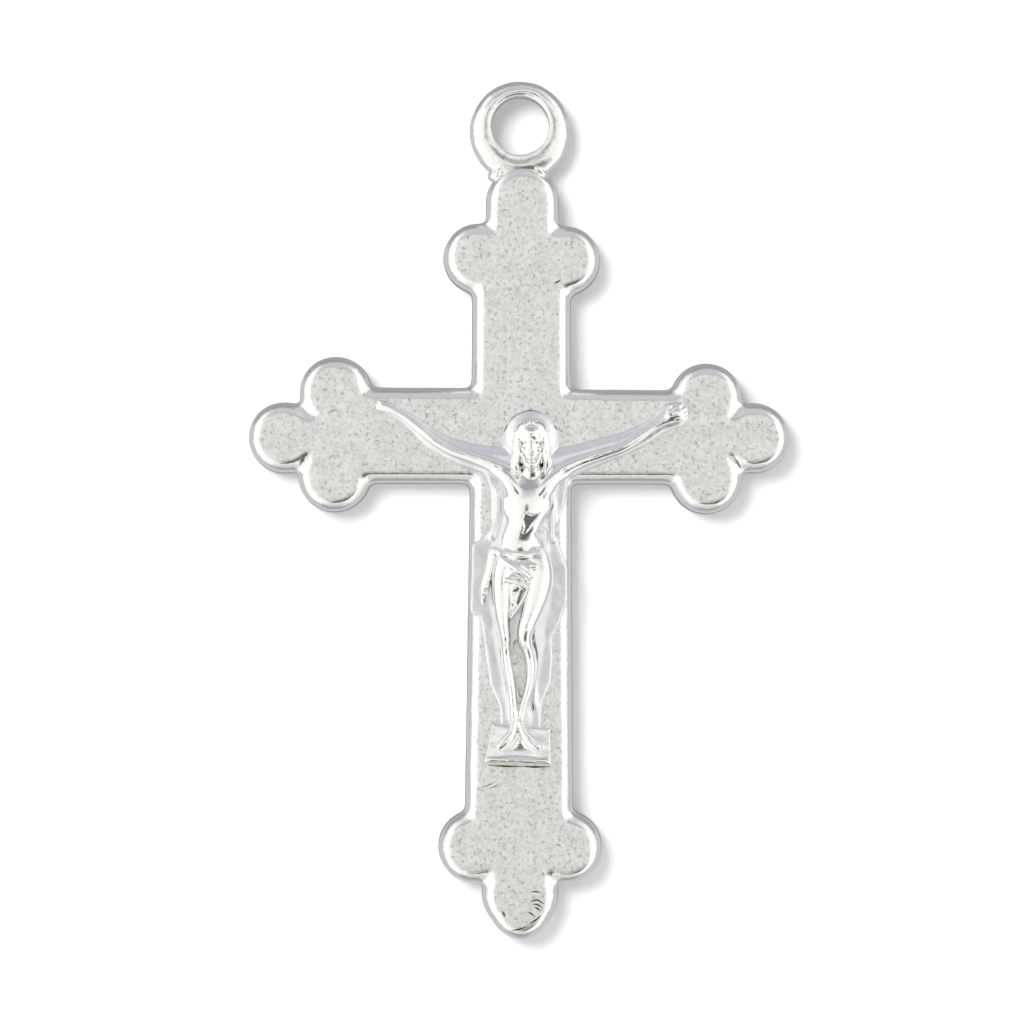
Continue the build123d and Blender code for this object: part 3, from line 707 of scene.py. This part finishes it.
strands.append(bone((
    (HEAD_X - 0.18, MOUTH_Z + 0.09, 2.50, 0.05, 0.07), (HEAD_X, MOUTH_Z + 0.12, 2.56, 0.05, 0.07),
    (HEAD_X + 0.18, MOUTH_Z + 0.09, 2.50, 0.05, 0.07)), detail=8))
for side in (-1, 0, 1):
    strands.append(bone((
        (HEAD_X + side * 0.16, CHIN + 0.05, 2.46, 0.06, 0.07),
        (HEAD_X + side * 0.12, CHIN - 0.30, 2.26, 0.05, 0.06),
    ), detail=8, steps=1))
hair = cast(mass, voxel=0.032, passes=6)
hair = cast([hair] + strands, voxel=0.028, passes=3)
carve(hair, [ball(HEAD_X, EYES_Z - 0.05, 2.72, 0.50, 0.66, 0.62, detail=32)])
hair = cast([hair], voxel=0.028, passes=3)
finish_piece(hair, "hair_and_beard_locks", ["hair_and_beard"])

# %% [markdown]
# ## Finishes
# Silver has one colour, and everything else is in how its skin scatters light: the satin face is covered in
# fine grain, the walls and the figure are polished. Each finish is a few measured patterns added together,
# so the arithmetic is written as sums of wires: the class below turns + - * into Math nodes.

# %% Wires and boards
class Wire:
    """An output of a node, which adds Math nodes when it is used in a sum."""

    def __init__(self, board, socket):
        self.board, self.socket = board, socket

    def maths(self, operation, first, second=0.0):
        return self.board.node("ShaderNodeMath", {"operation": operation}, {0: first, 1: second})

    def __add__(self, other):
        return self.maths("ADD", self, other)

    def __sub__(self, other):
        return self.maths("SUBTRACT", self, other)

    def __rsub__(self, other):
        return self.maths("SUBTRACT", other, self)

    def __mul__(self, other):
        return self.maths("MULTIPLY", self, other)

    def __abs__(self):
        return self.maths("ABSOLUTE", self)

    __radd__, __rmul__ = __add__, __mul__


class Board:
    """A board of shader nodes: one method adds any node, and the others are short names for common ones."""

    def __init__(self, tree):
        self.tree = tree

    def plug(self, socket, value):
        if isinstance(value, Wire):
            self.tree.links.new(value.socket, socket)
        else:
            socket.default_value = value

    def node(self, kind, settings, sockets, output=0):
        node = self.tree.nodes.new(kind)
        for name, value in settings.items():
            setattr(node, name, value)
        for key, value in sockets.items():
            self.plug(node.inputs[key], value)
        return Wire(self, node.outputs[output])

    def where(self, output="Object"):
        return self.node("ShaderNodeTexCoord", {}, {}, output)

    def along(self, vector, axis):
        return self.node("ShaderNodeSeparateXYZ", {}, {0: vector}, axis)

    def band(self, value, start, end, low=0.0, high=1.0):
        """Low before start, high after end, with a smooth run between."""
        return self.node("ShaderNodeMapRange", {"interpolation_type": "SMOOTHSTEP"}, {
            "Value": value, "From Min": start, "From Max": end, "To Min": low, "To Max": high})

    def mix(self, factor, first, second):
        return self.node("ShaderNodeMix", {"data_type": "RGBA"}, {0: factor, 6: first, 7: second}, 2)


class Finish(Board):
    """A material with a metal shader."""

    def __init__(self, name):
        self.material = bpy.data.materials.new(name)
        self.material.use_nodes = True
        super().__init__(self.material.node_tree)
        self.shader = self.tree.nodes["Principled BSDF"]
        self.shader.inputs["Metallic"].default_value = 1.0

    def set(self, socket, value):
        self.plug(self.shader.inputs[socket], value)

    def noise(self, per_mm, detail=2.0, roughness=0.5):
        return self.node("ShaderNodeTexNoise", {}, {
            "Vector": self.where(), "Scale": per_mm / MM, "Detail": detail, "Roughness": roughness})

    def hollows(self):
        """1 in a crease, 0 elsewhere."""
        return self.band(self.node("ShaderNodeNewGeometry", {}, {}, "Pointiness"), 0.49, 0.42)

    def flat(self):
        """1 where the skin is one of the two faces of the plate, 0 on the walls between them."""
        return self.band(abs(self.along(self.where("Normal"), "Y")), 0.945, 0.995)

    def bump(self, height, distance_mm, strength=1.0):
        return self.node("ShaderNodeBump", {}, {
            "Height": height, "Strength": strength, "Distance": distance_mm * MM})

    def dress(self, *pieces):
        for piece in pieces:
            piece.data.materials.clear()
            piece.data.materials.append(self.material)


WARM = (0.95, 0.945, 0.92, 1.0)
COOL = (0.90, 0.90, 0.92, 1.0)
SATIN = (0.86, 0.86, 0.84, 1.0)
# The light speck colour below is a painted glint, and SHADE, the dark speck colour, is painted shade.
PAINTED_GLINT = (1.0, 1.0, 0.985, 1.0)
SHADE = (0.50, 0.495, 0.48, 1.0)
# The backing's lilac tint is a painted reflection of the grey-lavender room.
LILAC_REFLECTION_TINT = (0.93, 0.93, 0.95, 1.0)
TARNISH = (0.40, 0.36, 0.30, 1.0)
# Near-black painted shade for the backing's creases.
CREASE_SHADE = (0.10, 0.09, 0.08, 1.0)
print("a finish is a sum of wires on a board")

# %% [markdown]
# The plate's two faces are satin: a fine grain of specks, some dark and some light, over a faint cloud, all
# of it fading out on the polished shoulder and walls. The specks are both in the colour and in the bump,
# because bump alone disappears where the light is even. In the colour they are partly the grain itself and
# partly painted light: the light specks are painted glints, the dark specks painted shade.

# %% Satin silver for the plate
satin = Finish("satin_silver")
flat = satin.flat()
grain = satin.noise(5.6, 3.0, 0.75)
specks = satin.noise(4.8, 3.0, 0.75)
blotch = satin.noise(1.2, 2.0)
# Light specks: the grain, with painted glints in the colour.
colour = satin.mix(satin.band(grain, 0.42, 0.56), SATIN, PAINTED_GLINT)
# Dark specks: the grain, with painted shade in the colour.
colour = satin.mix(satin.band(specks, 0.55, 0.66) * 0.8, colour, SHADE)
colour = satin.mix(satin.band(blotch, 0.30, 0.70) * 0.12, colour, TARNISH)
colour = satin.mix(flat, WARM, colour)
colour = satin.mix(satin.hollows() * 0.9, colour, TARNISH)
satin.set("Base Color", colour)
satin.set("Roughness", 0.13 + flat * 0.22 + blotch * 0.08)
satin.set("Normal", satin.bump((grain * 0.6 + specks * 0.5) * (0.25 + flat * 0.75) + blotch * 0.6, 0.04, 0.8))
satin.dress(plate)
print("satin silver is made of", len(satin.tree.nodes), "nodes")

# %% [markdown]
# The figure is polished, so its skin only ripples a little, and its creases keep the brown tarnish that
# polishing doesn't reach. The backing behind it is less bright, because the wheel passes over it; its lilac
# tint is a painted reflection of the grey-lavender room, and the near-black in its creases is painted shade.
# The ring and its solder were polished by hand, with a little casting grain left in them, and their dark
# specks are partly that grain and partly painted shade.

# %% Polished silver for the figure
polished = Finish("figure_silver")
ripples = polished.noise(1.8, 2.0)
fine = polished.noise(10.0, 2.0, 0.6)
crease = polished.hollows()
colour = polished.mix(polished.band(fine, 0.5, 0.7) * 0.3, WARM, COOL)
polished.set("Base Color", polished.mix(crease, colour, TARNISH))
polished.set("Roughness", 0.08 + fine * 0.12 + crease * 0.2)
polished.set("Normal", polished.bump(ripples * 0.7 + fine * 0.24, 0.03, 0.5))
polished.dress(rest, body, cloth, tail, head, hair)
print("polished silver is made of", len(polished.tree.nodes), "nodes")

# %% Duller silver for the backing
dull = Finish("backing_silver")
drift = dull.noise(1.1, 2.0)
backing_specks = dull.noise(9.0, 3.0, 0.6)
# Lilac base, a painted reflection, with dark specks that are partly grain and partly painted shade.
colour = dull.mix(dull.band(backing_specks, 0.5, 0.75) * 0.3, LILAC_REFLECTION_TINT, SHADE)
# The backing's creases get near-black painted shade.
dull.set("Base Color", dull.mix(dull.hollows(), colour, CREASE_SHADE))
dull.set("Roughness", 0.26 + drift * 0.14)
dull.set("Normal", dull.bump(drift + backing_specks * 0.2, 0.03, 0.5))
dull.dress(backing)
print("dull silver is made of", len(dull.tree.nodes), "nodes")

# %% Bright silver for the ring and its solder
bright = Finish("bright_silver")
swirl = bright.noise(1.2, 2.0)
ring_and_solder_specks = bright.noise(9.0, 3.0, 0.6)
# Dark specks: partly casting grain, partly painted shade in the colour.
colour = bright.mix(bright.band(ring_and_solder_specks, 0.5, 0.75) * 0.4, WARM, SHADE)
bright.set("Base Color", bright.mix(bright.hollows() * 0.7, colour, TARNISH))
bright.set("Roughness", 0.16 + swirl * 0.14)
bright.set("Normal", bright.bump(swirl + ring_and_solder_specks * 0.15, 0.04, 0.5))
bright.dress(ring, solder)
print("bright silver is made of", len(bright.tree.nodes), "nodes")

# %% [markdown]
# ## Stage, light and camera
# The pendant hangs just in front of a white card, as it would lie on a white table. The card is white on its
# front only, so that the pendant can be seen from behind too. The card, the floor and the lamp don't show in
# the metal: the room alone does.

# %% Card and floor
CARD_GAP = 0.05 * MM
bpy.ops.mesh.primitive_plane_add(
    size=0.4, location=(0, -PLATE_BACK * MM + CARD_GAP, -0.02), rotation=(math.pi / 2, 0, 0))
card = active()
card.name = "card"
bpy.ops.mesh.primitive_plane_add(size=4.0, location=(0, 0, -0.16))
floor = active()
floor.name = "floor"
for piece in (card, floor):
    paper = Finish(piece.name + "_paper")
    paper.set("Metallic", 0.0)
    paper.set("Roughness", 0.9)
    paper.set("Base Color", (0.94, 0.94, 0.94, 1))
    if piece is card:
        hidden = paper.node("ShaderNodeBsdfTransparent", {}, {})
        behind = paper.node("ShaderNodeNewGeometry", {}, {}, "Backfacing")
        white = Wire(paper, paper.shader.outputs[0])
        shown = paper.node("ShaderNodeMixShader", {}, {0: behind, 1: white, 2: hidden})
        paper.plug(paper.tree.nodes["Material Output"].inputs["Surface"], shown)
    paper.dress(piece)
    piece.visible_glossy = False
print("the card stands", round(CARD_GAP / MM, 2), "mm behind the pendant")

# %% [markdown]
# Polished silver shows whatever stands around it, so the room is what gives the metal its form. It is a tent
# of white cloth, full white in front of the pendant and a cool grey behind it, with the brightest panels at
# both sides. Straight in front the tent is open: there is a dark lens in the middle of the opening, a dark
# gap low in it, and a thin rail across its top. The cloth is greyer above, at the sill below, along the seam
# between front and back, and straight behind the pendant. Each of these is a soft band of directions. Paper
# only feels the even light of the tent, so for it the room has one plain value.

# %% Room light
world = bpy.data.worlds.new("white_room")
bpy.context.scene.world = world
world.use_nodes = True
room = Board(world.node_tree)
toward = room.where("Generated")
across, depth, rise = (room.along(toward, axis) for axis in "XYZ")

front = room.band(depth, 0.30, 0.00)
panels = room.band(abs(across), 0.30, 0.80) * front
opening = room.band(depth, -0.40, -0.60) * (1.0 - panels)
gap = room.band(rise, -0.28, -0.38) * room.band(rise, -0.84, -0.76)
gap = gap * room.band(across, -0.20, -0.08) * opening
hood = room.band(rise, 0.27, 0.48) * (1.0 - panels)
sill = room.band(rise, -0.86, -0.94) * (1.0 - panels)
rail = room.band(rise, 0.46, 0.52) * room.band(rise, 0.64, 0.58) * opening
seam = room.band(depth, -0.02, 0.08) * room.band(depth, 0.26, 0.16)
under = room.band(depth, 0.95, 0.99)
lens = room.band(depth, -0.995, -0.985, 0.08, 1.0)
tent = (0.64 + front * 0.36 + panels * 0.16) * lens
for patch, loss in ((gap, 0.88), (hood, 0.36), (sill, 0.30), (seam, 0.45), (rail, 0.45), (under, 0.62)):
    tent = tent * (1.0 - patch * loss)

EVEN_LIGHT, SEEN_WHITE = 0.62, 1.0
COOL_CLOTH, WARM_CLOTH = (0.93, 0.93, 1.0, 1), (1.0, 0.995, 0.98, 1)
rays = [room.node("ShaderNodeLightPath", {}, {}, kind) for kind in ("Is Camera Ray", "Is Diffuse Ray")]
even = room.node("ShaderNodeMix", {"data_type": "FLOAT"}, {0: rays[1], 2: tent, 3: EVEN_LIGHT})
shown = room.node("ShaderNodeMix", {"data_type": "FLOAT"}, {0: rays[0], 2: even, 3: SEEN_WHITE})
background = world.node_tree.nodes["Background"]
room.plug(background.inputs["Strength"], shown)
room.plug(background.inputs["Color"], room.mix(front * (1.0 - hood), COOL_CLOTH, WARM_CLOTH))
print("the room is built from", len(world.node_tree.nodes), "nodes")

# %% Lamp
LAMP_SPOT, LAMP_AIM = Vector((-0.12, -0.25, 0.09)), Vector((0, 0, -0.02))
bpy.ops.object.light_add(type="AREA", location=LAMP_SPOT)
light = active()
light.name = "key_upper_left"
light.data.size = 0.14
light.data.energy = 0.75
light.rotation_euler = (LAMP_AIM - LAMP_SPOT).to_track_quat("-Z", "Y").to_euler()
light.visible_glossy = False
print("a soft square lamp shines from the upper left, and throws the shadow on the card")

# %% Camera
LENS = 150
SENSOR = 36
VIEW_WIDTH = 51.2 * MM
AIM = Vector((-0.40, 0, -19.35)) * MM
distance = VIEW_WIDTH * LENS / SENSOR
stand = AIM + Vector((0, -distance - PLATE_FACE * MM, 0))
bpy.ops.object.camera_add(location=stand, rotation=(math.pi / 2, 0, 0))
camera = active()
camera.data.lens = LENS
camera.data.sensor_width = SENSOR
camera.data.clip_start = 0.01
camera.data.clip_end = 20
bpy.context.scene.camera = camera
bpy.context.scene.view_settings.view_transform = "Standard"
print("camera stands", round(distance / MM), "mm away")
